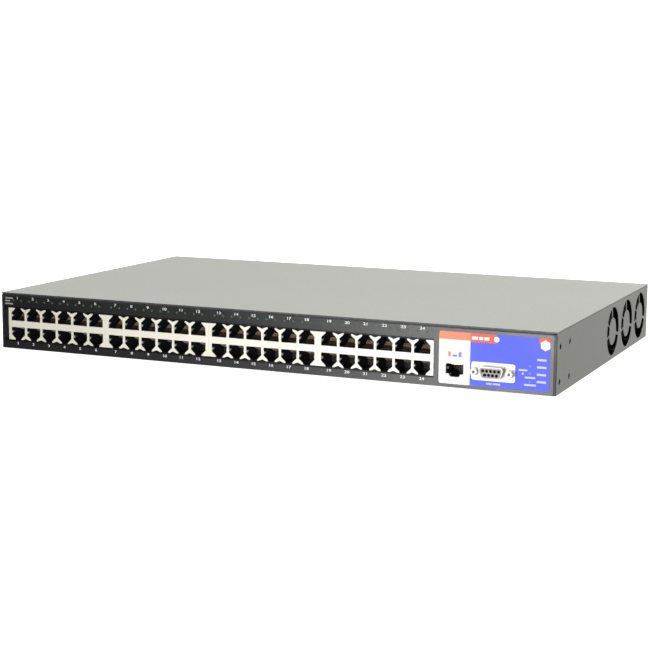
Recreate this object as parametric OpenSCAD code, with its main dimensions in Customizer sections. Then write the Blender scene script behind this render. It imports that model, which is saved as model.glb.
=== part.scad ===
// 1U rack network unit: 48 stacked jacks in four blocks, a console jack, a D-sub serial port,
// three side fans and an AC inlet. Millimetres. Origin: centre of the underside of the chassis.
// +X is to the right of someone facing the front, +Y runs to the rear, +Z is up.

/* [Chassis] */
// Width over the side sheets
body_w = 440; // [436:1:446]
// Depth from the front label to the rear lip of the cover
body_d = 276; // [272:1:300]
// Height from the underside to the top of the cover
body_h = 43.2; // [42.8:0.1:44]
// Thickness of the steel sheet
sheet_t = 1.0; // [0.8:0.1:1.2]
// Shadow gap under the cover plate
cover_gap = 0.8; // [0.4:0.1:1]

/* [Jack blocks] */
// Distance between neighbouring jacks in one block
jack_pitch = 13.95; // [13.9:0.05:14.2]
// Distance between neighbouring blocks
block_pitch = 86.97; // [86.9:0.01:88]
// Centre of the first column, from the middle of the chassis
first_col_x = -205.42; // [-206:0.01:-204]
// Height of the plane between the upper and lower jacks
row_mid_z = 19.2; // [19:0.1:19.6]
// Width of a jack opening
port_w = 12.1; // [11.8:0.1:12.3]

/* [Service ports] */
// Centre of the console jack
console_x = 149; // [148:0.5:150]
// Centre of the serial connector
db9_x = 176.6; // [176:0.2:177]
// Height of the serial connector
db9_z = 13.1; // [13:0.1:13.4]
// Centre of the reset button
reset_x = 197.4; // [197:0.1:198]

/* [Fans] */
// Side of the square fan frame
fan_size = 40; // [40:0.1:40.4]
// Thickness of a fan
fan_t = 20; // [18:1:24]
// Distance between fans
fan_pitch = 45; // [44:0.5:46]
// Distance of the rearmost fan axis from the rear end
last_fan_from_rear = 28; // [26:0.5:30]

/* [Rack ears] */
// Side of the square of ear holes
ear_pitch = 24; // [20:1:26]
// Diameter of an ear hole
ear_hole_d = 4.2; // [3.2:0.1:4.5]

/* [Hidden] */
$fn = 40;

// Layers of the front, counted from the outermost face
label_t = 0.1;
film_t = 0.3;
label_y = -body_d / 2;
film_y = label_y + label_t;
panel_y = film_y + film_t;
panel_back = panel_y + sheet_t;
panel_w = body_w - 0.2;
film_w = body_w - 2 * sheet_t - 1.6;
panel_top = body_h - sheet_t - cover_gap;
wall_top = body_h - sheet_t - 0.15;

// Shell
side_in = body_w / 2 - sheet_t;
cover_z = body_h - sheet_t;
wall_out = body_d / 2 - sheet_t;
wall_in = wall_out - sheet_t;
gap = 0.05;

// Jack blocks
cols = 6;
blocks = 4;
block_w = block_pitch - 0.12;
bezel_t = 0.6;
bezel_back = panel_y + bezel_t;
jack_low = 13.5;
jack_high = 13.7;
body_back = bezel_back + 19;
cell_floor = 2.5;
cell_shoulder = 8.5;
notch_z = 11.5;
cell_roof = 12.6;
film_edge = 12.35;
tooth_tip = 11.25;
notch_half = 2.8;
finger_h = 1.6;
finger_z = 6.3;
contact_pitch = 1.02;
contact_w = 0.4;

// Main board
board_z = 4;
board_t = 1.6;
board_top = board_z + board_t;
board_front = panel_back + 0.1;
board_back = -20;
board_w = body_w - 12;
standoff_xy = [for (x = [-205, -103, 0, 103, 205]) for (y = [-108, -28]) [x, y]];
chip_xy = [for (i = [0:7]) [-178 + i * 46, -66]];

// Service ports
console_top = 16.6;
console_low = 9.5;
console_notch = 7.5;
console_w = 12.6;
flange_t = 0.5;
shell_reach = 5.9;
pin_pitch = 2.77;
row_pitch = 2.84;
// Distance from the rear of the sockets to the mouth of their bores
socket_face = panel_back + 5 - (label_y - flange_t - shell_reach + 0.4) - 0.6;
jackscrew_pitch = 24.99;
reset_z = 13.8;
reset_r = 0.8;
reset_travel = 0.6;
status_x = 202;
status_z = [19.0, 14.3, 8.4];
led_z = 37.4;
led_side = 3.45;
led_r = 0.8;

// Fans
fan_z = fan_size / 2 + sheet_t + 0.1;
fan_y = [for (i = [2:-1:0]) body_d / 2 - last_fan_from_rear - i * fan_pitch];
fan_x0 = side_in - fan_t;
fan_hole_pitch = 32;
rotor_tip = 18.2;
rotor_hub = 10.8;
blades = 7;
guard_in = 10.3;
guard_out = 18.3;
guard_shift = 0.7;
// Angle and width of each web of a fan guard
guard_webs = [[-14, 2.2], [102, 1.6], [156, 1.0], [192, 1.2]];

// Rear
inlet_x = -180;
inlet_z = 20.4;
rear_lip_end = 190;
ground_x = -146;
ground_z = 13;
cover_screw_x = [-200, -100, 0, 100, 200];
cover_screw_z = 38;
lip_low = 33;
panel_screw_x = [-190, -95, 0, 95, 190];
panel_screw_y = -body_d / 2 + 8;
ear_first = 9.5;
ear_low = 8.3;

// Power supply
psu_x0 = -206;
psu_x1 = -40;
psu_y0 = -8;
psu_y1 = 102;
psu_z = 6;
psu_top = psu_z + board_t;
psu_standoff_xy = [for (x = [psu_x0 + 6, psu_x1 - 6]) for (y = [psu_y0 + 6, psu_y1 - 6]) [x, y]];

// Routes of the inner wires: right out of each terminal, then level to the next one
dc_route = [[-60, 60, 12], [-50, 60, 12.5], [-40, 58, 13], [-33, 50, 12.5], [-30, 38, 11],
    [-30, 24, 9.5], [-30, 8, 8.5], [-30, -8, 8.2], [-30, -22, 8.2], [-30, -32, 8.2]];
ac_route = [for (p = [[31.5, 19.5], [35, 19.3], [38, 18.5], [41, 17], [44, 15]])
    [inlet_x - 7, wall_out - p[0], p[1]]];
fan_route = [[0, 0, 0], [-7, -1, 0], [-12, -6, 0], [-15, -14, 0], [-16, -22, 0]];

function col_x(b, c) = first_col_x + b * block_pitch + c * jack_pitch;
function block_x(b) = col_x(b, (cols - 1) / 2);

// ---- Helpers ----

// A shape drawn in X and Z, standing in the XZ plane from y to y + t
module upright(y, t) {
    translate([0, y + t, 0]) rotate([90, 0, 0]) linear_extrude(t) children();
}

// A shape drawn in Y and Z, standing in the YZ plane from x to x + t
module sideways(x, t) {
    translate([x, 0, 0]) rotate([90, 0, 90]) linear_extrude(t) children();
}

// A rectangle given by its lower left and upper right corners
module rect(x0, y0, x1, y1) {
    translate([x0, y0]) square([x1 - x0, y1 - y0]);
}

// The same with round corners
module round_rect(x0, y0, x1, y1, r) {
    rect(x0 + r, y0, x1 - r, y1);
    rect(x0, y0 + r, x1, y1 - r);
    for (x = [x0 + r, x1 - r]) for (y = [y0 + r, y1 - r]) translate([x, y]) circle(r);
}

// An upright slot with round ends
module slot(w, h) {
    rect(0, w / 2, w, h - w / 2);
    for (y = [w / 2, h - w / 2]) translate([w / 2, y]) circle(w / 2);
}

// A block given by two opposite corners
module block(a, b) {
    translate(a) cube(b - a);
}

module at_cols(b) {
    for (c = [0:cols - 1]) translate([col_x(b, c), 0]) children();
}

// Upper jack opening about the block's middle plane
module port_shape() {
    w = port_w / 2;
    polygon([[-w, cell_floor], [w, cell_floor], [w, cell_shoulder], [notch_half, notch_z],
        [notch_half, cell_roof], [-notch_half, cell_roof], [-notch_half, notch_z],
        [-w, cell_shoulder]]);
}

// D-shaped outline with the long side up
module d_shape(w, h, r = 1.6) {
    slant = h * tan(10);
    hull() {
        for (s = [-1, 1]) {
            translate([s * (w / 2 - r), h / 2 - r]) circle(r, $fn = 24);
            translate([s * (w / 2 - slant - r), r - h / 2]) circle(r, $fn = 24);
        }
    }
}

// Flat-head screw whose head face is at the origin and whose shank runs along +Z
module flat_head_screw(head_r, shank_r, head_h, length) {
    difference() {
        union() {
            cylinder(h = head_h, r1 = head_r, r2 = shank_r);
            translate([0, 0, head_h - 0.01]) cylinder(h = length - head_h + 0.01, r = shank_r);
        }
        for (a = [0, 90]) rotate([0, 0, a]) translate([0, 0, head_h / 2 - 0.4])
            cube([head_r * 1.1, 0.55, head_h], center = true);
    }
}

module flat_head_hole(head_r, shank_r, head_h, length) {
    translate([0, 0, -0.02]) cylinder(h = head_h + 0.02, r1 = head_r + 0.05, r2 = shank_r + 0.05);
    translate([0, 0, head_h - 0.1]) cylinder(h = length, r = shank_r + 0.05);
}

// A round wire swept along its points
function unit(v) = v / norm(v);
function heading(p, i) = unit(p[min(i + 1, len(p) - 1)] - p[max(i - 1, 0)]);
function ring(p, i, r, n) = let (d = heading(p, i), u = unit(cross([0, 0, 1], d)), v = cross(d, u))
    [for (k = [0:n - 1]) p[i] + r * (cos(360 * k / n) * u + sin(360 * k / n) * v)];
module wire(p, r, n = 8) {
    last = len(p) - 1;
    polyhedron(
        points = [for (i = [0:last]) each ring(p, i, r, n)],
        faces = concat([[for (k = [0:n - 1]) k]], [[for (k = [n - 1:-1:0]) last * n + k]],
            [for (i = [0:last - 1]) for (k = [0:n - 1])
                [i * n + k, (i + 1) * n + k, (i + 1) * n + (k + 1) % n, i * n + (k + 1) % n]]));
}

// ---- Shell ----

module ear_holes_2d() {
    for (y = [0, ear_pitch]) for (z = [0, ear_pitch])
        translate([label_y + ear_first + y, ear_low + z]) circle(d = ear_hole_d);
}

// Ring slots with a solid middle disc held by four webs
module fan_guard_2d(y) {
    translate([y, fan_z]) difference() {
        circle(guard_out);
        translate([-guard_shift, 0]) circle(guard_in);
        for (web = guard_webs)
            rotate(web[0]) translate([0, -web[1] / 2]) square([guard_out + 1, web[1]]);
    }
}

module intake_2d() {
    for (i = [0:19]) for (z = [7, 24])
        translate([20 + i * 5.4, z]) slot(2.8, 12);
}

module rear_cuts_2d() {
    rect(inlet_x - 13.6, inlet_z - 10, inlet_x + 13.6, inlet_z + 10);
    translate([ground_x, ground_z]) circle(2.05);
    for (i = [0:23]) translate([-100 + i * 6, 9]) slot(3, 16);
}

module chassis_tray() {
    color("#8b8c86") difference() {
        union() {
            block([-side_in, panel_back, 0], [side_in, wall_out, sheet_t]);
            for (x = [-body_w / 2, side_in])
                block([x, panel_back, 0], [x + sheet_t, wall_out, wall_top]);
            block([-side_in - sheet_t / 2, wall_in, 0], [side_in + sheet_t / 2, wall_out, wall_top]);
            block([-side_in, wall_in - 8, wall_top - sheet_t], [rear_lip_end, wall_out, wall_top]);
        }
        for (x = [-body_w / 2 - 1, side_in - 1]) sideways(x, sheet_t + 2) ear_holes_2d();
        sideways(side_in - 1, sheet_t + 2) for (y = fan_y) fan_guard_2d(y);
        sideways(-body_w / 2 - 1, sheet_t + 2) intake_2d();
        upright(wall_in - 1, sheet_t + 2) rear_cuts_2d();
        for (x = cover_screw_x) translate([x, wall_in - 1, cover_screw_z])
            rotate([-90, 0, 0]) cylinder(h = sheet_t + 2, r = 1.5);
        for (x = panel_screw_x) translate([x, panel_screw_y, 0])
            flat_head_hole(2.8, 1.45, sheet_t, 4);
    }
}

module top_cover() {
    color("#bebfb8") difference() {
        union() {
            block([-body_w / 2, label_y, cover_z], [body_w / 2, body_d / 2, body_h]);
            block([-side_in, wall_out, lip_low], [side_in, body_d / 2, body_h]);
            for (s = [-1, 1]) {
                x = s * (side_in - 0.7);
                block([min(x, x - s * sheet_t), panel_back + 16, cover_z - 5],
                    [max(x, x - s * sheet_t), fan_y[0] - fan_size / 2 - 6, cover_z + 0.1]);
            }
        }
        for (x = cover_screw_x) translate([x, body_d / 2, cover_screw_z])
            rotate([90, 0, 0]) flat_head_hole(2.8, 1.45, sheet_t, 4);
    }
}

// Window for all four blocks
module jack_window_2d() {
    rect(block_x(0) - block_w / 2 - 0.1, row_mid_z - jack_low - 0.1,
        block_x(blocks - 1) + block_w / 2 + 0.1, row_mid_z + jack_high + 0.1);
}

// Holes that the panel, the film and the label share around the service ports
module service_cuts_2d() {
    rect(console_x - console_w / 2, console_low, console_x + console_w / 2, console_top);
    polygon([[console_x - 3.2, console_notch], [console_x + 3.2, console_notch],
        [console_x + 4.2, console_low + 0.1], [console_x - 4.2, console_low + 0.1]]);
    translate([db9_x, db9_z]) d_shape(20, 11.4);
    for (s = [-1, 1]) translate([db9_x + s * jackscrew_pitch / 2, db9_z]) circle(1.6);
    translate([reset_x, reset_z]) circle(reset_r + 0.1);
    for (z = status_z) translate([status_x, z]) circle(led_r + 0.05);
}

module port_led_holes_2d() {
    for (b = [0:blocks - 1]) at_cols(b)
        for (s = [-1, 1]) translate([s * led_side, led_z]) circle(led_r + 0.05);
}

module front_panel() {
    color("#5c5c5e") {
        upright(panel_y, sheet_t) difference() {
            rect(-panel_w / 2, 0, panel_w / 2, panel_top);
            jack_window_2d();
            service_cuts_2d();
            port_led_holes_2d();
        }
        difference() {
            block([1 - side_in, panel_back - 0.1, sheet_t], [side_in - 1, panel_back + 12, 2 * sheet_t]);
            for (x = panel_screw_x) translate([x, panel_screw_y, 0]) cylinder(h = 6, r = 1.5);
        }
        block([1 - side_in, panel_y + 0.6, panel_top - 0.4], [side_in - 1, panel_back + 12, cover_z]);
    }
}

// Zigzag edge: a tooth points between each two columns of a block
module tooth_2d() {
    polygon([[-4.2, film_edge + 0.5], [4.2, film_edge + 0.5], [0.4, tooth_tip], [-0.4, tooth_tip]]);
}

module film_window_2d() {
    difference() {
        rect(block_x(0) - block_w / 2 + 0.1, -film_edge,
            block_x(blocks - 1) + block_w / 2 - 0.1, film_edge);
        for (b = [0:blocks - 1]) for (c = [0:cols - 2]) translate([col_x(b, c + 0.5), 0]) {
            tooth_2d();
            mirror([0, 1]) tooth_2d();
        }
    }
}

module front_overlay() {
    color("#1b1b1d") upright(film_y, film_t) difference() {
        round_rect(-film_w / 2, 0.1, film_w / 2, panel_top - 0.5, 1.5);
        translate([0, row_mid_z]) film_window_2d();
        service_cuts_2d();
        port_led_holes_2d();
    }
}

module service_label() {
    color("#6f78f2") upright(label_y, label_t) difference() {
        round_rect(137.6, 2.5, 215.6, 38.7, 1.5);
        service_cuts_2d();
    }
}

// ---- Jack blocks ----

module jack_bezel(b) {
    color("#f2f0dc") upright(panel_y, bezel_t) difference() {
        rect(block_x(b) - block_w / 2, row_mid_z - jack_low, block_x(b) + block_w / 2,
            row_mid_z + jack_high);
        translate([0, row_mid_z]) at_cols(b) {
            port_shape();
            mirror([0, 1]) port_shape();
        }
    }
}

// Shelves, dividers and a back wall, clipped together behind the bezel
module jack_body(b) {
    x0 = block_x(b) - block_w / 2 + 0.4;
    x1 = block_x(b) + block_w / 2 - 0.4;
    y0 = bezel_back + gap;
    low = row_mid_z - jack_low + gap;
    high = row_mid_z + jack_high - 0.4;
    roof = cell_roof + 0.1;
    rail = jack_pitch - port_w - 0.2;
    color("#161618") {
        block([x0, body_back + gap, low], [x1, body_back + 1.6, high]);
        block([x0, y0, low], [x1, body_back, row_mid_z - roof]);
        block([x0, y0, row_mid_z - cell_floor + 0.1], [x1, body_back, row_mid_z + cell_floor - 0.1]);
        block([x0, y0, row_mid_z + roof], [x1, body_back, high]);
        for (row = [[row_mid_z - roof + gap, row_mid_z - cell_floor + gap],
                    [row_mid_z + cell_floor - gap, row_mid_z + roof - gap]]) {
            for (c = [0:cols - 2]) translate([col_x(b, c + 0.5), 0, 0])
                block([-rail / 2, y0, row[0]], [rail / 2, body_back, row[1]]);
            block([x0, y0, row[0]], [col_x(b, 0) - port_w / 2 - 0.1, body_back, row[1]]);
            block([col_x(b, cols - 1) + port_w / 2 + 0.1, y0, row[0]], [x1, body_back, row[1]]);
        }
    }
}

// One spring contact of an upper jack: clamped in the back wall, sloping down to the front
module contact_profile() {
    polygon([[0, 4.3], [-6.5, 6.6], [-12.6, 3.2], [-13.4, 3.2], [-13.4, 2.8], [-12.4, 2.8],
        [-6.5, 6.1], [0, 3.9]]);
}

module port_contacts() {
    for (i = [0:7]) translate([(i - 3.5) * contact_pitch - contact_w / 2, 0, 0])
        sideways(0, contact_w) contact_profile();
}

module jack_contacts(b) {
    color("#d9b65a") for (c = [0:cols - 1])
        translate([col_x(b, c), body_back - gap, row_mid_z]) {
            port_contacts();
            mirror([0, 0, 1]) port_contacts();
        }
}

// Bowed leaf that touches the side of the plug's shield
module finger_profile() {
    polygon([[0, 0], [0.75, 0.9], [0.1, 4.2], [0, 4], [0.5, 0.9], [0, 0.4]]);
}

module shield_finger() {
    translate([-port_w / 2 + 0.03, panel_y + 0.1, -finger_h / 2]) linear_extrude(finger_h)
        finger_profile();
}

module port_fingers() {
    for (z = [finger_z, -finger_z]) translate([0, 0, row_mid_z + z]) {
        shield_finger();
        mirror([1, 0, 0]) shield_finger();
    }
}

module jack_shield(b) {
    x0 = block_x(b) - block_w / 2 + 0.05;
    x1 = block_x(b) + block_w / 2 - 0.05;
    y1 = body_back + 1.95;
    low = row_mid_z - jack_low + 0.05;
    high = row_mid_z + jack_high;
    color("#c9cbc9") {
        difference() {
            block([x0, bezel_back + gap, low], [x1, y1, high]);
            block([x0 + 0.3, bezel_back - 1, low - 1], [x1 - 0.3, y1 - 0.3, high - 0.3]);
        }
        for (c = [0:cols - 1]) translate([col_x(b, c), 0, 0]) port_fingers();
    }
}

// ---- Console jack ----

module console_jack_body() {
    x0 = console_x - 7.6;
    x1 = console_x + 7.6;
    y0 = panel_back + gap;
    color("#161618") difference() {
        block([x0, y0, board_top + gap], [x1, y0 + 18, console_top + 1.6]);
        upright(y0 - 1, 17) {
            rect(console_x - console_w / 2 + 0.3, console_low, console_x + console_w / 2 - 0.3, console_top);
            rect(console_x - 3, console_notch, console_x + 3, console_low + 0.1);
        }
    }
}

module console_jack_contacts() {
    color("#d9b65a") translate([console_x, panel_back + 16, 0])
        for (i = [0:7]) translate([(i - 3.5) * contact_pitch - contact_w / 2, 0, 0])
            sideways(0, contact_w) polygon([[0, 14.8], [-8, 13.8], [-13, 15.6], [-13.8, 15.6],
                [-13.8, 16], [-12.8, 16], [-8, 14.3], [0, 15.2]]);
}

module console_jack_shield() {
    x0 = console_x - 7.9;
    x1 = console_x + 7.9;
    y0 = panel_back + gap;
    high = console_top + 1.9;
    color("#c9cbc9") {
        difference() {
            block([x0, y0, board_top + gap], [x1, y0 + 18.35, high]);
            block([x0 + 0.25, y0 - 1, board_top - 1], [x1 - 0.25, y0 + 18.1, high - 0.25]);
        }
        translate([console_x - console_w / 2 + 0.33, y0 + 0.4, 13.1 - finger_h / 2])
            linear_extrude(finger_h) finger_profile();
    }
}

// ---- Serial port ----

module db9_shell() {
    translate([db9_x, 0, db9_z]) color("#d8d8d2") {
        difference() {
            union() {
                upright(label_y - flange_t, flange_t) round_rect(-15.4, -6.25, 15.4, 6.25, 1.6);
                upright(label_y - flange_t - shell_reach, shell_reach) d_shape(16.9, 8.4, 2.2);
            }
            upright(label_y - flange_t - shell_reach - 1, shell_reach + flange_t + 2)
                d_shape(15.9, 7.4, 1.8);
            for (s = [-1, 1]) translate([s * jackscrew_pitch / 2, label_y + 1, 0])
                rotate([90, 0, 0]) cylinder(h = 3, r = 1.55);
        }
    }
}

// Hole centres of the socket, five over four
function db9_holes() = concat(
    [for (i = [-2:2]) [i * pin_pitch, row_pitch / 2]],
    [for (i = [-1.5:1.5]) [i * pin_pitch, -row_pitch / 2]]);

module db9_insert() {
    color("#7c7771") translate([db9_x, 0, db9_z]) difference() {
        union() {
            upright(label_y - flange_t - shell_reach + 0.4, shell_reach + 6) d_shape(15.8, 7.3, 1.75);
            block([-9.5, panel_back + 1, board_top + gap - db9_z], [9.5, panel_back + 11, 5.4]);
            upright(label_y + 1, panel_back - label_y + 1) d_shape(15.8, 7.3, 1.75);
        }
        for (p = db9_holes()) translate([p[0], panel_back + 5, p[1]]) rotate([90, 0, 0]) {
            cylinder(h = 20, r = 0.85);
            translate([0, 0, socket_face]) cylinder(h = 0.6, r1 = 0.85, r2 = 1.1);
        }
    }
}

module db9_contacts() {
    color("#d9b65a") translate([db9_x, 0, db9_z]) for (p = db9_holes())
        translate([p[0], panel_back + 4.9, p[1]]) rotate([90, 0, 0]) difference() {
            cylinder(h = 8.2, r = 0.8);
            translate([0, 0, 3]) cylinder(h = 6, r = 0.52);
        }
}

module db9_jackscrews() {
    color("#ddd6c0") for (s = [-1, 1])
        translate([db9_x + s * jackscrew_pitch / 2, label_y - flange_t, db9_z])
            rotate([90, 0, 0]) difference() {
                union() {
                    cylinder(h = 5, r = 2.7, $fn = 6);
                    translate([0, 0, -6.5]) cylinder(h = 7, r = 1.4);
                }
                translate([0, 0, -1]) cylinder(h = 7, r = 1.15);
            }
}

// ---- Lights and the reset button ----

module port_leds() {
    color("#c7d8cc") for (b = [0:blocks - 1]) {
        block([block_x(b) - block_w / 2 + 1, panel_back + 0.1, row_mid_z + jack_high + 0.1],
            [block_x(b) + block_w / 2 - 1, panel_back + 3, led_z + 1.6]);
        at_cols(b) for (s = [-1, 1]) translate([s * led_side, panel_back + 0.2, led_z])
            rotate([90, 0, 0]) cylinder(h = panel_back + 0.2 - film_y, r = led_r);
    }
}

module status_leds() {
    color("#cfd8e8") {
        block([status_x - 1.6, panel_back + 0.1, board_top + gap],
            [status_x + 1.6, panel_back + 3, status_z[0] + 1.6]);
        for (z = status_z) translate([status_x, panel_back + 0.2, z])
            rotate([90, 0, 0]) cylinder(h = panel_back + 0.2 - label_y, r = led_r);
    }
}

module reset_button() {
    color("#8f95e0") translate([reset_x, 0, reset_z]) rotate([-90, 0, 0]) {
        translate([0, 0, label_y - 0.7]) cylinder(h = 5.6, r = reset_r);
        translate([0, 0, panel_back + 0.1]) cylinder(h = 0.9, r = 1.9);
    }
}

module reset_switch() {
    y0 = label_y + 5 + reset_travel;
    color("#3a3a3c") {
        block([reset_x - 3, y0 + 0.8, board_top + gap], [reset_x + 3, y0 + 4.6, reset_z + 3]);
        translate([reset_x, y0 + 0.9, reset_z]) rotate([90, 0, 0]) cylinder(h = 0.9, r = 1.5);
    }
}

// ---- Main board ----

module main_board() {
    color("#1f6b3c") difference() {
        block([-board_w / 2, board_front, board_z], [board_w / 2, board_back, board_top]);
        for (p = standoff_xy) translate([p[0], p[1], board_z - 1]) cylinder(h = 4, r = 1.6);
        for (s = [-1, 1]) translate([s * board_w / 2, board_front, board_z - 1])
            cylinder(h = 4, r = 3);
    }
}

module standoff(h) {
    difference() {
        cylinder(h = h, r = 2.8, $fn = 6);
        translate([0, 0, -1]) cylinder(h = h + 2, r = 1.3);
    }
}

module board_standoffs() {
    color("#c8b46a") {
        for (p = standoff_xy) translate([p[0], p[1], sheet_t]) standoff(board_z - sheet_t);
        for (p = psu_standoff_xy) translate([p[0], p[1], sheet_t]) standoff(psu_z - sheet_t);
    }
}

module pan_head_screw(length) {
    difference() {
        union() {
            cylinder(h = 2, r = 2.7);
            translate([0, 0, -length]) cylinder(h = length + 0.1, r = 1.25);
        }
        for (a = [0, 90]) rotate([0, 0, a]) translate([0, 0, 1.9]) cube([3, 0.6, 1.6], center = true);
    }
}

module board_screws() {
    color("#b9bab6") {
        for (p = standoff_xy) translate([p[0], p[1], board_top]) pan_head_screw(4);
        for (p = psu_standoff_xy) translate([p[0], p[1], psu_z + board_t]) pan_head_screw(5);
    }
}

// One transformer package behind each column of jacks
module magnetics() {
    color("#202022") for (b = [0:blocks - 1]) for (c = [0:cols - 1])
        translate([col_x(b, c), -96, board_top]) {
            block([-5.2, 0, 0.4], [5.2, 14, 5.2]);
            for (i = [-2:2]) block([i * 2 - 0.3, -1.2, 0], [i * 2 + 0.3, -0.01, 2.4]);
            for (i = [-2:2]) block([i * 2 - 0.3, 14.01, 0], [i * 2 + 0.3, 15.2, 2.4]);
        }
}

module logic_chips() {
    color("#1a1a1c") {
        for (p = chip_xy) translate([p[0], p[1], board_top]) block([-9, -9, 0.05], [9, 9, 1.8]);
        for (x = [168, 190]) translate([x, -66, board_top]) block([-6, -10, 0.05], [6, 10, 1.5]);
        translate([150, -84, board_top]) block([-5, -4, 0.05], [5, 4, 2]);
    }
}

module heatsinks() {
    color("#9fa3a6") for (i = [0:3]) translate([chip_xy[2 * i][0], chip_xy[2 * i][1], board_top + 1.85])
        difference() {
            block([-10, -10, 0], [10, 10, 11]);
            for (k = [0:5]) block([-8.6 + k * 3, -11, 2], [-6.6 + k * 3, 11, 12]);
        }
}

// ---- Power supply ----

module psu_board() {
    color("#a8823c") difference() {
        block([psu_x0, psu_y0, psu_z], [psu_x1, psu_y1, psu_z + board_t]);
        for (p = psu_standoff_xy) translate([p[0], p[1], psu_z - 1]) cylinder(h = 4, r = 1.6);
    }
}

module psu_transformers() {
    color("#d8c27a") for (x = [-140, -96]) translate([x, 52, psu_top]) {
        block([-15, -17, 0], [15, -9, 26]);
        block([-15, 9, 0], [15, 17, 26]);
        block([-15, -8.95, 0], [15, 8.95, 4]);
        block([-15, -8.95, 22], [15, 8.95, 26]);
        translate([0, 0, 4.05]) cylinder(h = 17.9, r = 8.8);
    }
}

module psu_capacitors() {
    color("#20304c") for (p = [[-180, 30, 11, 30], [-180, 56, 11, 30], [-60, 20, 7, 22],
        [-60, 38, 7, 22], [-60, 78, 7, 22], [-160, 84, 6, 18], [-142, 84, 6, 18]])
        translate([p[0], p[1], psu_top]) {
            cylinder(h = p[3] - 1, r = p[2]);
            translate([0, 0, p[3] - 1.1]) cylinder(h = 0.9, r = p[2] - 0.8);
        }
}

module psu_heatsinks() {
    color("#9fa3a6") for (y = [4, 88]) translate([-118, y, psu_top]) difference() {
        block([-14, -5, 0], [26, 5, 28]);
        for (k = [0:6]) for (s = [-1, 1])
            translate([6, s * 4.5, 4 + k * 3.6]) cube([44, 5, 2], center = true);
    }
}

// ---- Fans ----

// Stands a fan drawn along +Z on the inside of the right wall
module at_fan(i) {
    translate([fan_x0, fan_y[i], fan_z]) rotate([0, 90, 0]) children();
}

module fan_corners() {
    for (x = [-1, 1]) for (y = [-1, 1])
        translate([x * fan_hole_pitch / 2, y * fan_hole_pitch / 2, 0]) children();
}

module fan_frame(i) {
    half = fan_size / 2;
    color("#1c1c1e") at_fan(i) {
        difference() {
            linear_extrude(fan_t - gap) round_rect(-half, -half, half, half, 3);
            translate([0, 0, -1]) cylinder(h = fan_t + 2, r = rotor_tip + 0.6);
            fan_corners() translate([0, 0, -1]) cylinder(h = fan_t + 2, r = 1.6);
        }
        difference() {
            union() {
                cylinder(h = 2, r = 10.2);
                translate([0, 0, 1.9]) cylinder(h = 12, r = 2.8);
                for (a = [45:90:315]) rotate([0, 0, a]) translate([9, -1.2, 0]) cube([10.4, 2.4, 2]);
            }
            translate([0, 0, 1]) cylinder(h = 14, r = 1.04);
        }
    }
}

module fan_rotor(i) {
    color("#26262a") at_fan(i) {
        difference() {
            union() {
                translate([0, 0, 3]) cylinder(h = 15, r = rotor_hub);
                for (k = [0:blades - 1]) rotate([0, 0, k * 360 / blades]) intersection() {
                    translate([14.2, 0, 10.5]) rotate([40, 0, 0]) cube([9, 1.1, 22], center = true);
                    difference() {
                        translate([0, 0, 4]) cylinder(h = 13, r = rotor_tip);
                        translate([0, 0, 3]) cylinder(h = 15, r = rotor_hub - 0.6);
                    }
                }
            }
            translate([0, 0, 2]) cylinder(h = 14.4, r = rotor_hub - 1.4);
        }
        translate([0, 0, 1.2]) cylinder(h = 15.3, r = 1);
    }
}

module fan_stators() {
    color("#a5652f") for (i = [0:2]) at_fan(i) difference() {
        union() {
            translate([0, 0, 5]) cylinder(h = 7, r = 5);
            for (k = [0:3]) rotate([0, 0, k * 90]) {
                translate([0, -1.6, 5]) cube([8, 3.2, 7]);
                translate([7.2, -3.4, 5]) cube([1.2, 6.8, 7]);
            }
        }
        translate([0, 0, 4]) cylinder(h = 9, r = 2.85);
    }
}

// Angle bracket on the floor that holds the inner faces of the fans
module fan_bracket() {
    y0 = fan_y[0] - fan_size / 2 - 2;
    y1 = fan_y[2] + fan_size / 2;
    x1 = fan_x0 - gap;
    color("#b4b6b2") difference() {
        union() {
            block([x1 - sheet_t, y0, sheet_t], [x1, y1, cover_z - 1.2]);
            block([x1 - 12, y0, sheet_t], [x1, y1, 2 * sheet_t]);
        }
        for (y = fan_y) translate([x1 - 3, y, fan_z]) rotate([0, 90, 0]) {
            cylinder(h = 5, r = rotor_tip);
            fan_corners() cylinder(h = 5, r = 1.6);
        }
    }
}

module fan_screws() {
    color("#b9bab6") for (i = [0:2]) at_fan(i) fan_corners()
        translate([0, 0, -gap - sheet_t]) rotate([180, 0, 0]) {
            difference() {
                cylinder(h = 1.8, r = 2.6);
                for (a = [0, 90]) rotate([0, 0, a]) translate([0, 0, 1.7]) cube([2.8, 0.6, 1.4], center = true);
            }
            translate([0, 0, -9]) cylinder(h = 9.1, r = 1.5);
        }
}

// ---- Rear ----

// Recess of the inlet: a rectangle with its two upper corners cut off
module inlet_recess_2d() {
    polygon([[-12.2, -8.3], [12.2, -8.3], [12.2, 3.8], [7.8, 8.3], [-7.8, 8.3], [-12.2, 3.8]]);
}

module inlet_pin_shapes(extra = 0) {
    for (p = [[-7, -2], [7, -2], [0, 2.4]])
        rect(p[0] - 1 - extra, p[1] - 2 - extra, p[0] + 1 + extra, p[1] + 2 + extra);
}

module inlet_body() {
    color("#1d1d1f") translate([inlet_x, 0, inlet_z]) difference() {
        union() {
            upright(wall_out + gap, 2.4) round_rect(-15.4, -12.1, 15.4, 12.1, 2);
            upright(wall_out - 22, 22.1 + gap) rect(-13.5, -9.9, 13.5, 9.9);
        }
        upright(wall_out - 15, 20) inlet_recess_2d();
        upright(wall_out - 23, 10) inlet_pin_shapes(0.02);
    }
}

module inlet_pins() {
    color("#cfcfca") translate([inlet_x, 0, inlet_z]) upright(wall_out - 30, 29.5) inlet_pin_shapes();
}

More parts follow.
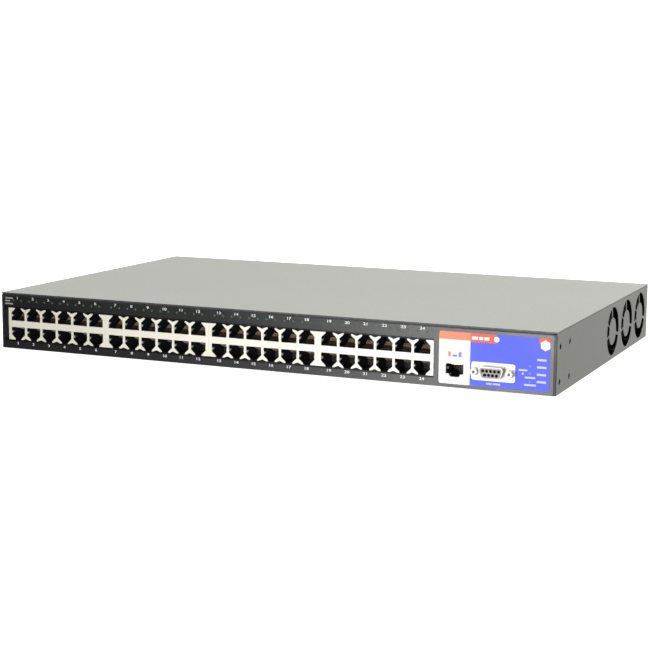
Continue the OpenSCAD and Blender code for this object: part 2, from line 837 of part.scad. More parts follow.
module ground_screw() {
    color("#c6c7c2") translate([ground_x, wall_out + gap, ground_z]) rotate([-90, 0, 0]) {
        difference() {
            union() {
                cylinder(h = 0.9, r = 4.6);
                translate([0, 0, 0.8]) cylinder(h = 2.4, r = 3.7);
                translate([0, 0, -8]) cylinder(h = 8.1, r = 2);
            }
            for (a = [0, 90]) rotate([0, 0, a]) translate([0, 0, 3]) cube([4.6, 0.9, 1.8], center = true);
        }
    }
}

module cover_screws() {
    color("#4a4a4a") for (x = cover_screw_x) translate([x, body_d / 2, cover_screw_z])
        rotate([90, 0, 0]) flat_head_screw(2.8, 1.45, sheet_t, 3.6);
}

module panel_screws() {
    color("#4a4a4a") for (x = panel_screw_x) translate([x, panel_screw_y, 0])
        flat_head_screw(2.8, 1.45, sheet_t, 3.6);
}

// Round clinch nuts behind the ear holes
module ear_nuts() {
    color("#b9bab6") for (s = [0, 1]) mirror([s, 0, 0]) translate([side_in - 2.4 - gap, 0, 0])
        for (y = [0, ear_pitch]) for (z = [0, ear_pitch])
            translate([0, label_y + ear_first + y, ear_low + z]) rotate([0, 90, 0]) difference() {
                cylinder(h = 2.4, r = 3.6);
                translate([0, 0, -1]) cylinder(h = 5, d = ear_hole_d);
            }
}

// ---- Inner wires ----

module dc_harness() {
    color("#b03030") for (k = [0:3]) wire([for (p = dc_route)
        [p[0] + k * 3.2, p[1] + (p[1] > -30 ? k * 3.2 : 0), p[2]]], 1.4);
    color("#e8e6da") translate([-30, -44, board_top + gap]) block([-3, -4, 0], [13, 11.5, 7]);
}

module fan_leads() {
    color("#202020") for (y = fan_y) for (k = [0:1])
        translate([fan_x0 - 2.2, y - 6, 6 + k * 1.7]) wire(fan_route, 0.7);
}

module ac_leads() {
    color("#7a4a24") for (k = [0:1]) translate([14 * k, 0, 0]) wire(ac_route, 1.6);
    color("#3c8a3c") translate([7, 0, 4.2]) wire(ac_route, 1.6);
}

chassis_tray();
top_cover();
front_panel();
front_overlay();
service_label();
jack_bezel(0);  // jack_bezel_1
jack_bezel(1);  // jack_bezel_2
jack_bezel(2);  // jack_bezel_3
jack_bezel(3);  // jack_bezel_4
jack_body(0);  // jack_body_1
jack_body(1);  // jack_body_2
jack_body(2);  // jack_body_3
jack_body(3);  // jack_body_4
jack_contacts(0);  // jack_contacts_1
jack_contacts(1);  // jack_contacts_2
jack_contacts(2);  // jack_contacts_3
jack_contacts(3);  // jack_contacts_4
jack_shield(0);  // jack_shield_1
jack_shield(1);  // jack_shield_2
jack_shield(2);  // jack_shield_3
jack_shield(3);  // jack_shield_4
console_jack_body();
console_jack_contacts();
console_jack_shield();
db9_shell();
db9_insert();
db9_contacts();
db9_jackscrews();
port_leds();
status_leds();
reset_button();
reset_switch();
main_board();
board_standoffs();
board_screws();
magnetics();
logic_chips();
heatsinks();
psu_board();
psu_transformers();
psu_capacitors();
psu_heatsinks();
fan_frame(0);  // fan_frame_1
fan_frame(1);  // fan_frame_2
fan_frame(2);  // fan_frame_3
fan_rotor(0);  // fan_rotor_1
fan_rotor(1);  // fan_rotor_2
fan_rotor(2);  // fan_rotor_3
fan_stators();
fan_bracket();
fan_screws();
inlet_body();
inlet_pins();
ground_screw();
cover_screws();
panel_screws();
ear_nuts();
dc_harness();
fan_leads();
ac_leads();
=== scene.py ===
# Looks of the rackmount unit: materials, printed marks, light, floor and camera.
# Everything is in metres, in the frame of the CAD model.
import math

import bmesh
import bpy
from mathutils import Matrix, Vector


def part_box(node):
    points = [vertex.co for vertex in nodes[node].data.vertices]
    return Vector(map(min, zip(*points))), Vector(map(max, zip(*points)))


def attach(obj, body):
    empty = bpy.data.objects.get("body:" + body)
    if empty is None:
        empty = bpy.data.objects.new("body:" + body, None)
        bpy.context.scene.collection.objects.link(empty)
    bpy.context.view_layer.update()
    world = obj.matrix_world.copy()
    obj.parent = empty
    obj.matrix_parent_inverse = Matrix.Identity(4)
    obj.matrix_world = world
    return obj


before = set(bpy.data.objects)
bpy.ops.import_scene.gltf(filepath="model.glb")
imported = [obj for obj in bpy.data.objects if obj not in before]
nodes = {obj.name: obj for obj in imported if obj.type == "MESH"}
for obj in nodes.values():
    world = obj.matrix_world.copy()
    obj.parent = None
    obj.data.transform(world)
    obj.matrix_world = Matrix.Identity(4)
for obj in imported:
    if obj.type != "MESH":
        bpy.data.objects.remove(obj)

MM = 0.001
scene = bpy.context.scene
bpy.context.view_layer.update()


# ---- Places, from the CAD model ----

BLOCKS = 4
COLS = 6
FANS = 3
JACK_PITCH = 13.95 * MM
# The height between the two rows of jacks
ROW_MID_Z = 19.2 * MM

cover_low, cover_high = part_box("top_cover")
label_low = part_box("service_label")[0]
film_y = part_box("front_overlay")[0].y
flange_low, flange_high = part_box("db9_shell")
flange_middle = (flange_low + flange_high) / 2
socket_front_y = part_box("db9_insert")[0].y
blocks = [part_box(f"jack_bezel_{i + 1}") for i in range(BLOCKS)]


def column_x(block, column):
    low, high = blocks[block]
    return (low.x + high.x) / 2 + (column - (COLS - 1) / 2) * JACK_PITCH


# ---- Materials ----

# Outer skin of the shell: faces that lie this far within it get a near-black painted shade
SKIN = 0.3 * MM
REAR_WALL = 1.2 * MM
# Front edge faces of the sheet, this deep, are darker than its other faces
FRONT_EDGE_DEPTH = 0.2 * MM
EDGE_COLOUR = (0.035, 0.035, 0.036, 1)
# Serial port shell: the span of its walls in depth, which carry painted shade, and the start of its right
# flank, which carries darker painted shade
WALL_FRONT = 0.25 * MM
WALL_BACK = 5.85 * MM
WALL_SIDE = 7.7 * MM
# Serial socket: the half sizes of its grey field, and the depth of its front face
FIELD_HALF_X = 7.4 * MM
FIELD_HALF_Z = 3.1 * MM
FACE_DEPTH = 0.12 * MM
# Film: the dull strip over and under the jacks, from the middle plane, and its gloss
STRIP_NEAR = 11.0 * MM
STRIP_FAR = 13.5 * MM
FILM_SPECULAR = 0.22
FILM_ROUGH = 0.34
# The contacts carry a dark painted shade up to this distance from the middle plane
SHADE_REACH = 4.6 * MM
# Label layout, from its lower left corner
SPLIT_X = 22.4 * MM
BAND_LOW_WHITE = 30.8 * MM
BAND_LOW_BLUE = 30.0 * MM
BAND_END_X = 40.9 * MM
CORNER_X = 70.4 * MM
CORNER_Z = 32.3 * MM
BLUE_DARK = (0.115, 0.15, 0.90, 1)
BLUE_LIGHT = (0.135, 0.175, 0.95, 1)
CORAL_DARK = (0.90, 0.28, 0.16, 1)
CORAL_LIGHT = (0.95, 0.33, 0.20, 1)
RED_DARK = (0.85, 0.14, 0.10, 1)
RED_LIGHT = (0.90, 0.17, 0.12, 1)


class Nodes:
    """Short names for building one material's node tree."""

    def __init__(self, name):
        self.material = bpy.data.materials.new(name)
        self.material.use_nodes = True
        self.tree = self.material.node_tree
        self.shader = self.tree.nodes["Principled BSDF"]
        self.coords = self.tree.nodes.new("ShaderNodeTexCoord").outputs["Object"]

    def add(self, kind, **settings):
        node = self.tree.nodes.new(kind)
        for key, value in settings.items():
            setattr(node, key, value)
        return node

    def link(self, output, socket):
        self.tree.links.new(output, socket)

    def place(self):
        """The X, Y and Z of a point on the object."""
        node = self.add("ShaderNodeSeparateXYZ")
        self.link(self.coords, node.inputs["Vector"])
        return [node.outputs[axis] for axis in "XYZ"]

    def noise(self, scale, detail=3.0):
        node = self.add("ShaderNodeTexNoise")
        node.inputs["Scale"].default_value = scale
        node.inputs["Detail"].default_value = detail
        node.inputs["Roughness"].default_value = 0.5
        self.link(self.coords, node.inputs["Vector"])
        return node.outputs["Fac"]

    def remap(self, value, low, high, from_low=0.3, from_high=0.7):
        """Stretches the usual span of a noise, or another span, over low to high."""
        node = self.add("ShaderNodeMapRange")
        self.link(value, node.inputs["Value"])
        node.inputs["From Min"].default_value = from_low
        node.inputs["From Max"].default_value = from_high
        node.inputs["To Min"].default_value = low
        node.inputs["To Max"].default_value = high
        return node.outputs["Result"]

    def mix(self, factor, a, b):
        node = self.add("ShaderNodeMix", data_type="RGBA")
        for name, value in (("Factor", factor), ("A", a), ("B", b)):
            socket = node.inputs[name]
            if isinstance(value, bpy.types.NodeSocket):
                self.link(value, socket)
            else:
                socket.default_value = value
        return node.outputs[2]

    def step(self, value, edge, above=True):
        """1 where the value is above the edge, or below it, and 0 elsewhere."""
        node = self.add("ShaderNodeMath", operation="GREATER_THAN" if above else "LESS_THAN")
        self.link(value, node.inputs[0])
        node.inputs[1].default_value = edge
        return node.outputs[0]

    def combine(self, a, b, operation):
        node = self.add("ShaderNodeMath", operation=operation)
        self.link(a, node.inputs[0])
        self.link(b, node.inputs[1])
        return node.outputs[0]

    def both(self, a, b):
        return self.combine(a, b, "MULTIPLY")

    def either(self, a, b):
        return self.combine(a, b, "ADD")

    def within(self, value, middle, half):
        """1 where the value is no further than half from the middle."""
        node = self.add("ShaderNodeMath", operation="COMPARE")
        self.link(value, node.inputs[0])
        node.inputs[1].default_value = middle
        node.inputs[2].default_value = half
        return node.outputs[0]

    def colour(self, value):
        self.link(value, self.shader.inputs["Base Color"])

    def rough(self, value):
        self.link(value, self.shader.inputs["Roughness"])

    def bump(self, height, distance, strength=1.0):
        node = self.add("ShaderNodeBump")
        node.inputs["Strength"].default_value = strength
        node.inputs["Distance"].default_value = distance
        self.link(height, node.inputs["Height"])
        self.link(node.outputs["Normal"], self.shader.inputs["Normal"])


def rgba(colour, gain=1.0):
    return tuple(min(1.0, c * gain) for c in colour) + (1.0,)


def surface(name, colour, roughness, spread=0.06, grain=900.0, depth=0.00002, metallic=0.0,
            specular=0.5):
    """A material with fine grain in its height, and slow changes in its colour and gloss."""
    n = Nodes(name)
    n.shader.inputs["Metallic"].default_value = metallic
    n.shader.inputs["Specular IOR Level"].default_value = specular
    slow = n.noise(25.0, 4.0)
    fine = n.noise(grain, 2.0)
    blend = n.remap(slow, 0.0, 1.0)
    n.colour(n.mix(blend, rgba(colour, 1.0 - spread), rgba(colour, 1.0 + spread)))
    n.rough(n.remap(slow, roughness - 0.05, roughness + 0.05))
    n.bump(fine, depth)
    return n.material


def powder_coat(name, colour, shade_colour):
    """Baked paint with an orange-peel texture and lighter flecks.

    Faces within the skin carry a near-black painted shade, and the front edge faces are dark.
    """
    n = Nodes(name)
    slow = n.noise(9.0, 5.0)
    fleck = n.noise(1500.0, 1.0)
    peel = n.noise(700.0, 2.0)
    base = n.mix(n.remap(slow, 0.0, 1.0), rgba(colour, 0.975), rgba(colour, 1.025))
    mottle = n.mix(n.remap(n.noise(320.0, 1.0), 0.0, 0.5), base, rgba(colour, 0.94))
    painted = n.mix(n.remap(fleck, 0.0, 0.35, 0.5, 0.75), mottle, rgba(colour, 1.24))
    x, y, z = n.place()
    across = n.both(n.within(x, 0.0, cover_high.x - SKIN), n.within(y, 0.0, cover_high.y - REAR_WALL))
    shaded_inner = n.both(across, n.within(z, cover_high.z / 2, cover_high.z / 2 - SKIN))
    coated = n.mix(n.step(y, cover_low.y + FRONT_EDGE_DEPTH, False), painted, EDGE_COLOUR)
    # Painted shade: faces within the skin take the near-black shade colour
    n.colour(n.mix(shaded_inner, coated, rgba(shade_colour)))
    n.rough(n.remap(peel, 0.46, 0.6))
    n.bump(peel, 0.00005, 0.6)
    return n.material


def socket_plastic(name, face, rim, shade_colour):
    """Grey plastic on the front face of the serial socket, with a paler rim; behind that face the bores carry
    a near-black painted shade.
    """
    n = Nodes(name)
    x, y, z = n.place()
    field = n.both(n.within(z, flange_middle.z, FIELD_HALF_Z), n.within(x, flange_middle.x, FIELD_HALF_X))
    grain = n.remap(n.noise(1600.0, 2.0), 0.0, 1.0)
    grey = n.mix(grain, rgba(face, 0.95), rgba(face, 1.05))
    front = n.mix(field, rgba(rim), grey)
    # Painted shade: behind the front face, the bores take the near-black shade colour
    n.colour(n.mix(n.step(y, socket_front_y + FACE_DEPTH), front, rgba(shade_colour)))
    n.rough(n.remap(n.noise(60.0, 3.0), 0.42, 0.55))
    n.bump(n.noise(1600.0, 2.0), 0.00001)
    return n.material


def port_shell(name):
    """Plated sheet: pale at the front, with painted tan shade on the walls of the shell around its root and
    darker painted shade on its right flank.
    """
    n = Nodes(name)
    x, y, _ = n.place()
    wall = n.both(n.step(y, flange_low.y + WALL_FRONT), n.step(y, flange_low.y + WALL_BACK, False))
    flank = n.both(wall, n.step(x, flange_middle.x + WALL_SIDE))
    grain = n.remap(n.noise(2200.0, 2.0), 0.0, 1.0)
    pale = n.mix(grain, (0.70, 0.69, 0.655, 1), (0.74, 0.73, 0.695, 1))
    # Painted shade: the walls of the shell tan, and its right flank darker still
    shaded_walls = n.mix(wall, pale, (0.66, 0.61, 0.53, 1))
    n.colour(n.mix(flank, shaded_walls, (0.34, 0.27, 0.18, 1)))
    n.shader.inputs["Metallic"].default_value = 0.1
    n.rough(n.remap(n.noise(60.0, 3.0), 0.42, 0.52))
    n.bump(n.noise(2200.0, 2.0), 0.000006)
    return n.material


def overlay_film(name):
    """Black film. The strip along the zigzag is duller."""
    n = Nodes(name)
    x, _, z = n.place()
    over = n.both(n.step(z, ROW_MID_Z + STRIP_NEAR), n.step(z, ROW_MID_Z + STRIP_FAR, False))
    under = n.both(n.step(z, ROW_MID_Z - STRIP_FAR), n.step(z, ROW_MID_Z - STRIP_NEAR, False))
    last_block_end = blocks[-1][1].x
    strip = n.both(n.either(over, under), n.step(x, last_block_end, False))
    grain = n.remap(n.noise(2600.0, 2.0), 0.0, 1.0)
    n.colour(n.mix(grain, (0.0042, 0.0042, 0.005, 1), (0.0055, 0.0055, 0.0063, 1)))
    n.link(n.remap(strip, FILM_SPECULAR, 0.06, 0.0, 1.0), n.shader.inputs["Specular IOR Level"])
    n.rough(n.remap(n.noise(25.0, 4.0), FILM_ROUGH - 0.02, FILM_ROUGH + 0.02))
    n.bump(n.noise(2600.0, 2.0), 0.000004)
    return n.material


def spring_contacts(name):
    """Gold-plated wires: a dark painted shade near the middle plane of the jacks, gold beyond it."""
    n = Nodes(name)
    shaded_middle = n.within(n.place()[2], ROW_MID_Z, SHADE_REACH)
    tint = n.remap(n.noise(900.0, 2.0), 0.0, 1.0)
    gold_tone = n.mix(tint, (0.70, 0.52, 0.36, 1), (0.78, 0.60, 0.44, 1))
    # Painted shade: the wires are dark near the middle plane, deep in the jacks
    n.colour(n.mix(shaded_middle, gold_tone, (0.10, 0.07, 0.04, 1)))
    n.shader.inputs["Metallic"].default_value = 0.3
    n.rough(n.remap(n.noise(900.0, 2.0), 0.4, 0.5))
    n.bump(n.noise(3000.0, 2.0), 0.000003)
    return n.material


def printed_label(name):
    """The label's print: white left part, blue right part, a band that is coral over the white and red over
    the blue, and a red corner.
    """
    n = Nodes(name)
    x, _, z = n.place()
    step, both = n.step, n.both
    grain = n.remap(n.noise(2500.0, 2.0), 0.0, 1.0)
    white = n.mix(grain, (0.86, 0.86, 0.88, 1), (0.93, 0.93, 0.94, 1))
    blue = n.mix(grain, BLUE_DARK, BLUE_LIGHT)
    coral = n.mix(grain, CORAL_DARK, CORAL_LIGHT)
    red = n.mix(grain, RED_DARK, RED_LIGHT)
    print_colour = n.mix(step(x, label_low.x + SPLIT_X), white, blue)
    over_white = both(step(z, label_low.z + BAND_LOW_WHITE), step(x, label_low.x + SPLIT_X, False))
    print_colour = n.mix(over_white, print_colour, coral)
    over_blue = both(both(step(z, label_low.z + BAND_LOW_BLUE), step(x, label_low.x + SPLIT_X)),
                     step(x, label_low.x + BAND_END_X, False))
    print_colour = n.mix(over_blue, print_colour, red)
    corner = both(step(x, label_low.x + CORNER_X), step(z, label_low.z + CORNER_Z))
    print_colour = n.mix(corner, print_colour, red)
    n.colour(print_colour)
    n.shader.inputs["Specular IOR Level"].default_value = 0.12
    n.rough(n.remap(n.noise(40.0, 3.0), 0.5, 0.6))
    n.bump(n.noise(1800.0, 2.0), 0.000008)
    return n.material


# The last colour is the near-black painted shade for faces within the skin
paint = powder_coat("cover_powder_coat", (0.465, 0.475, 0.435), (0.014, 0.014, 0.014))
dark_paint = surface("panel_paint", (0.012, 0.012, 0.012), 0.5, grain=1200.0, depth=0.00003, specular=0.3)
film = overlay_film("black_film")
shell_metal = port_shell("port_shell")
jack_gold = spring_contacts("jack_contact_gold")
label = printed_label("printed_label")
cream = surface("cream_plastic", (0.88, 0.85, 0.73), 0.42, spread=0.02, grain=1400.0, depth=0.000008)
black_plastic = surface("black_plastic", (0.008, 0.008, 0.009), 0.5, spread=0.1, grain=1500.0)
gold = surface("gold_contact", (0.83, 0.60, 0.25), 0.25, metallic=1.0, grain=3000.0, depth=0.000003)
tin = surface("bright_tin", (0.92, 0.92, 0.90), 0.32, spread=0.04, metallic=1.0, grain=2200.0,
              depth=0.000006)
# The last colour is the near-black painted shade in the bores
insert = socket_plastic("insert_plastic", (0.19, 0.17, 0.165), (0.50, 0.46, 0.42), (0.012, 0.011, 0.010))
post = surface("plated_post", (0.66, 0.61, 0.50), 0.45, spread=0.04, metallic=0.1, grain=2500.0,
               depth=0.000004)
brass = surface("brass_hardware", (0.72, 0.56, 0.26), 0.28, metallic=1.0, grain=2500.0, depth=0.000004)
light_pipe = surface("light_pipe", (0.06, 0.14, 0.07), 0.5, spread=0.05, grain=2000.0,
                     depth=0.000002, specular=0.1)
status_pipe = surface("status_light", (0.22, 0.26, 0.80), 0.5, spread=0.05, grain=2000.0,
                      depth=0.000002, specular=0.1)
button = surface("button_cap", (0.28, 0.31, 0.80), 0.4, grain=1800.0, depth=0.000006)
board = surface("solder_mask", (0.015, 0.12, 0.04), 0.35, spread=0.2, grain=700.0, depth=0.00003)
psu_laminate = surface("psu_laminate", (0.36, 0.24, 0.08), 0.5, spread=0.12, grain=700.0, depth=0.00003)
zinc = surface("zinc_steel", (0.62, 0.63, 0.62), 0.34, metallic=1.0, grain=1800.0, depth=0.000006)
black_oxide = surface("black_oxide", (0.06, 0.06, 0.065), 0.4, metallic=1.0, grain=1800.0)
chip = surface("chip_epoxy", (0.02, 0.02, 0.021), 0.55, grain=1500.0)
aluminium = surface("extruded_aluminium", (0.56, 0.57, 0.58), 0.36, metallic=1.0, grain=500.0)
core = surface("taped_core", (0.48, 0.38, 0.14), 0.5, spread=0.15, grain=400.0, depth=0.00005)
sleeve = surface("capacitor_sleeve", (0.02, 0.04, 0.14), 0.3, grain=900.0)
fan_plastic = surface("fan_plastic", (0.006, 0.006, 0.0065), 0.6, spread=0.12, grain=1300.0, specular=0.2)
copper = surface("enamelled_copper", (0.60, 0.26, 0.10), 0.3, metallic=1.0, grain=3000.0, depth=0.00004)
red_wire = surface("wire_sleeve_red", (0.45, 0.03, 0.02), 0.4, grain=1500.0)
black_wire = surface("wire_sleeve_black", (0.015, 0.015, 0.016), 0.4, grain=1500.0)
brown_wire = surface("wire_sleeve_brown", (0.16, 0.07, 0.03), 0.4, grain=1500.0)


def ink(name, colour):
    return surface(name, colour, 0.5, spread=0.04, grain=3000.0, depth=0.000002)


number_ink = ink("number_ink", (0.78, 0.78, 0.78))
ink_white = ink("white_ink", (0.88, 0.88, 0.88))
ink_grey = ink("grey_ink", (0.38, 0.38, 0.38))
ink_pale = ink("pale_blue_ink", (0.52, 0.55, 0.95))
ink_blue = ink("blue_ink", (0.12, 0.13, 0.62))
ink_red = ink("red_ink", (0.75, 0.16, 0.10))



def numbered(name, count):
    return [f"{name}_{i + 1}" for i in range(count)]


FINISH = {
    paint: ["chassis_tray", "top_cover"],
    dark_paint: ["front_panel"],
    film: ["front_overlay"],
    label: ["service_label"],
    cream: numbered("jack_bezel", BLOCKS),
    black_plastic: numbered("jack_body", BLOCKS) + ["console_jack_body", "inlet_body", "reset_switch"],
    jack_gold: numbered("jack_contacts", BLOCKS),
    gold: ["console_jack_contacts", "db9_contacts"],
    tin: numbered("jack_shield", BLOCKS) + ["console_jack_shield", "inlet_pins"],
    shell_metal: ["db9_shell"],
    insert: ["db9_insert"],
    brass: ["board_standoffs"],
    post: ["db9_jackscrews"],
    light_pipe: ["port_leds"],
    status_pipe: ["status_leds"],
    button: ["reset_button"],
    board: ["main_board"],
    psu_laminate: ["psu_board"],
    zinc: ["board_screws", "fan_bracket", "fan_screws", "ground_screw"],
    black_oxide: ["cover_screws", "panel_screws", "ear_nuts"],
    chip: ["magnetics", "logic_chips"],
    aluminium: ["heatsinks", "psu_heatsinks"],
    core: ["psu_transformers"],
    sleeve: ["psu_capacitors"],
    fan_plastic: numbered("fan_frame", FANS) + numbered("fan_rotor", FANS),
    copper: ["fan_stators"],
    red_wire: ["dc_harness"],
    black_wire: ["fan_leads"],
    brown_wire: ["ac_leads"],
}
for material, names in FINISH.items():
    for name in names:
        data = nodes[name].data
        data.materials.clear()
        data.materials.append(material)

# ---- Rounded edges on the CAD nodes ----

MERGE_DISTANCE = 0.002 * MM
# The width of each rounded edge in mm, and the nodes that have it
BEVELS = {
    0.30: ["chassis_tray", "top_cover"],
    0.12: ["front_panel", "fan_bracket", "inlet_body", "db9_insert", "db9_jackscrews", "reset_switch"],
    0.10: numbered("jack_bezel", BLOCKS),
    0.15: numbered("fan_frame", FANS) + numbered("fan_rotor", FANS) + ["reset_button"],
    0.08: ["db9_shell", "ground_screw", "console_jack_body"],
}


def bevel(name, width):
    piece = nodes[name]
    weld = piece.modifiers.new("join", "WELD")
    weld.merge_threshold = MERGE_DISTANCE
    soft = piece.modifiers.new("soft_edges", "BEVEL")
    soft.width = width
    soft.segments = 2
    soft.limit_method = "ANGLE"
    soft.angle_limit = math.radians(40)
    soft.use_clamp_overlap = True


for width, names in BEVELS.items():
    for name in names:
        bevel(name, width * MM)

# ---- Printed marks ----

INK = 0.03 * MM
UPRIGHT = Matrix.Rotation(math.radians(90), 4, "X")
# Port numbers: the heights of their middles, and the size and boldness of a digit
NUMBER_ROWS = {"port_numbers_upper": 39.3 * MM, "port_numbers_lower": 4.2 * MM}
DIGIT_HEIGHT = 1.9 * MM
DIGIT_WIDTH = 1.45
DIGIT_BOLD = 0.05 * MM
# How tall a digit is for a font size of 1
DIGIT_SHARE = 0.7


def as_mesh(shape, matrix):
    """Turns a flat curve or text into a mesh at the place that the matrix gives."""
    scene.collection.objects.link(shape)
    shape.matrix_world = matrix
    bpy.context.view_layer.update()
    mesh = bpy.data.meshes.new_from_object(shape.evaluated_get(bpy.context.evaluated_depsgraph_get()))
    mesh.transform(shape.matrix_world)
    bpy.data.objects.remove(shape)
    return mesh


def add_print(name, mesh, material):
    mesh.name = name
    mesh.materials.clear()
    mesh.materials.append(material)
    piece = bpy.data.objects.new(name, mesh)
    scene.collection.objects.link(piece)
    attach(piece, "chassis")


def printed(name, loops, front_y, material):
    """A thin print with the outlines given in X and Z. Inner outlines are holes."""
    curve = bpy.data.curves.new(name, "CURVE")
    curve.dimensions = "2D"
    curve.fill_mode = "BOTH"
    curve.extrude = INK / 2
    for loop in loops:
        spline = curve.splines.new("POLY")
        spline.points.add(len(loop) - 1)
        for point, (x, z) in zip(spline.points, loop):
            point.co = (x, z, 0, 1)
        spline.use_cyclic_u = True
    shape = bpy.data.objects.new(name, curve)
    add_print(name, as_mesh(shape, Matrix.Translation((0, front_y - INK / 2, 0)) @ UPRIGHT), material)


def bars(name, rows, front_y, material):
    """Upright rectangles, each given as left, lower, right and upper edge in mm."""
    printed(name, [[(x0 * MM, z0 * MM), (x1 * MM, z0 * MM), (x1 * MM, z1 * MM), (x0 * MM, z1 * MM)]
                   for x0, z0, x1, z1 in rows], front_y, material)


def disc(x, z, radius, sides=32, turn=0.0):
    return [(x + radius * math.cos(turn + 2 * math.pi * k / sides),
             z + radius * math.sin(turn + 2 * math.pi * k / sides)) for k in range(sides)]


def digits(number, x, z):
    text = bpy.data.curves.new("digits", "FONT")
    text.body = str(number)
    text.size = DIGIT_HEIGHT / DIGIT_SHARE
    text.align_x = "CENTER"
    text.align_y = "CENTER"
    text.extrude = INK / 2
    text.offset = DIGIT_BOLD
    shape = bpy.data.objects.new("digits", text)
    wide = Matrix.Scale(DIGIT_WIDTH, 4, (1, 0, 0))
    return as_mesh(shape, Matrix.Translation((x, film_y - INK / 2, z)) @ UPRIGHT @ wide)


def port_numbers(name, z):
    """The numbers of one row of jacks, counted over all blocks, as one piece."""
    joined = bmesh.new()
    for block in range(BLOCKS):
        for column in range(COLS):
            joined.from_mesh(digits(block * COLS + column + 1, column_x(block, column), z))
    mesh = bpy.data.meshes.new(name)
    joined.to_mesh(mesh)
    joined.free()
    add_print(name, mesh, number_ink)


for name, z in NUMBER_ROWS.items():
    port_numbers(name, z)

# Captions are plain bars, and marks are plain bars and discs
label_y = label_low.y
bars("caption_band", [(161.0, 34.3, 165.4, 36.4), (166.2, 34.3, 169.0, 36.4), (169.8, 34.3, 173.4, 36.4)],
     label_y, ink_white)
bars("caption_serial", [(171.6, 4.2, 175.6, 5.4), (176.4, 4.2, 181.6, 5.4)], label_y, ink_pale)
bars("caption_reset", [(194.2, 15.5, 200.2, 16.7)], label_y, ink_pale)
bars("caption_status", [(198.6, 10.7, 205.8, 11.9), (198.2, 5.7, 206.4, 6.9)], label_y, ink_pale)
bars("caption_lights", [(206.9, z - 0.7, 213.3, z + 0.7) for z in (23.8, 18.8, 13.8, 8.9)], label_y, ink_pale)
printed("band_disc", [disc(178.4 * MM, 35.4 * MM, 1.9 * MM)], label_y, ink_white)
printed("corner_hexagon", [disc(212.3 * MM, 33.7 * MM, 3.7 * MM, 6, math.pi / 6)], label_y, ink_white)
bars("console_mark_red", [(144.2, 21.5, 146.2, 24.9)], label_y, ink_red)
bars("console_mark_blue", [(147.4, 21.5, 150.6, 22.9), (151.8, 21.5, 153.8, 24.9)], label_y, ink_blue)
bars("film_mark", [(-216.5, 38.6, -209.5, 39.6), (-216.5, 36.4, -212.0, 37.4),
                   (-216.5, 34.2, -209.5, 35.2)], film_y, ink_grey)

# ---- Floor, light and camera ----

STAGE_HALF = 6.0
STAGE_HEIGHT = 6.0
FLOOR_Z = -0.05 * MM
FLOOR_GLOW = 0.7
BACKDROP_GLOW = 1.0
WORLD_LIGHT = 0.36


def pale_stage(name, corners, faces, glow):
    """A white stage piece that the camera sees. The lights alone shape the object."""
    mesh = bpy.data.meshes.new(name)
    mesh.from_pydata(corners, [], faces)
    n = Nodes(name + "_paper")
    n.colour(n.mix(n.remap(n.noise(3.0), 0.0, 1.0), (0.93, 0.93, 0.93, 1), (0.95, 0.95, 0.95, 1)))
    n.shader.inputs["Roughness"].default_value = 0.9
    n.shader.inputs["Specular IOR Level"].default_value = 0.1
    n.shader.inputs["Emission Color"].default_value = (1, 1, 1, 1)
    n.shader.inputs["Emission Strength"].default_value = glow
    mesh.materials.append(n.material)
    piece = bpy.data.objects.new(name, mesh)
    piece.visible_diffuse = False
    piece.visible_glossy = False
    piece.visible_shadow = False
    scene.collection.objects.link(piece)


def stage():
    ring = [(-STAGE_HALF, -STAGE_HALF), (STAGE_HALF, -STAGE_HALF), (STAGE_HALF, STAGE_HALF),
            (-STAGE_HALF, STAGE_HALF)]
    pale_stage("floor", [(x, y, FLOOR_Z) for x, y in ring], [(0, 1, 2, 3)], FLOOR_GLOW)
    pale_stage("backdrop", [(x, y, z) for z in (FLOOR_Z, STAGE_HEIGHT) for x, y in ring],
               [(0, 1, 5, 4), (1, 2, 6, 5), (2, 3, 7, 6), (3, 0, 4, 7), (4, 5, 6, 7)], BACKDROP_GLOW)


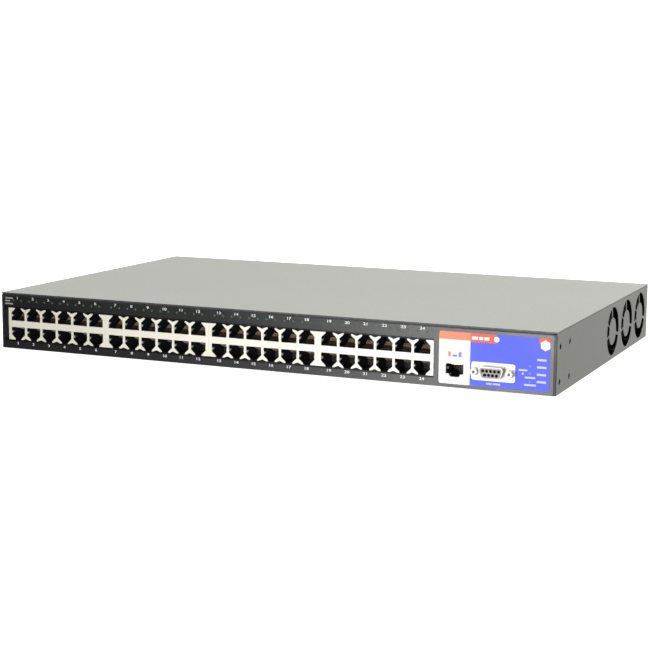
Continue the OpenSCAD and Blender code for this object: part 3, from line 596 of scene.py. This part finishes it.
def soft_world():
    world = bpy.data.worlds.new("studio")
    world.use_nodes = True
    background = world.node_tree.nodes["Background"]
    background.inputs["Color"].default_value = (1, 1, 1, 1)
    background.inputs["Strength"].default_value = WORLD_LIGHT
    scene.world = world


def area_light(name, place, target, size, power):
    data = bpy.data.lights.new(name, "AREA")
    data.shape = "RECTANGLE"
    data.size, data.size_y = size
    data.energy = power
    light = bpy.data.objects.new(name, data)
    aim = (Vector(target) - Vector(place)).to_track_quat("-Z", "Y").to_matrix().to_4x4()
    light.matrix_world = Matrix.Translation(place) @ aim
    light.visible_camera = False
    scene.collection.objects.link(light)
    return light


stage()
soft_world()
area_light("overhead", (0.0, 0.25, 2.2), (0, 0, 0), (2.2, 2.2), 42)
area_light("front_fill", (0.10, -0.55, 0.05), (0.08, -0.14, 0.02), (0.25, 0.15), 1.35)
area_light("rear_side", (0.60, 0.35, 0.45), (0.22, 0.1, 0.02), (0.3, 0.3), 1.0)
# A low lamp in front, under the floor's level, that shows only as a sheen on glossy faces.
# The floor casts no shadow, so the lamp shines through it.
sheen = area_light("film_sheen", (-0.17, -1.59, -0.26), (0.218, -0.138, 0.02), (0.45, 0.3), 21)
sheen.visible_diffuse = False

# How the camera looks: its turn about Z, its height angle and a slight roll
TURN, RISE, ROLL = math.radians(23.67), math.radians(8.9475), math.radians(0.4102)
CAMERA_PLACE = Vector((0.49282, -1.14333, 0.20968))
FOCAL_LENGTH = 87.703


def photo_camera():
    back = Vector((math.sin(TURN) * math.cos(RISE), -math.cos(TURN) * math.cos(RISE), math.sin(RISE)))
    level = Vector((math.cos(TURN), math.sin(TURN), 0))
    up = back.cross(level)
    right = level * math.cos(ROLL) + up * math.sin(ROLL)
    up = back.cross(right)
    turned = Matrix((right, up, back)).transposed().to_4x4()
    data = bpy.data.cameras.new("camera")
    data.sensor_width = 36
    data.lens = FOCAL_LENGTH
    data.clip_end = 100
    camera = bpy.data.objects.new("camera", data)
    camera.matrix_world = Matrix.Translation(CAMERA_PLACE) @ turned
    scene.collection.objects.link(camera)
    scene.camera = camera


photo_camera()
scene.view_settings.view_transform = "Standard"
scene.view_settings.look = "None"
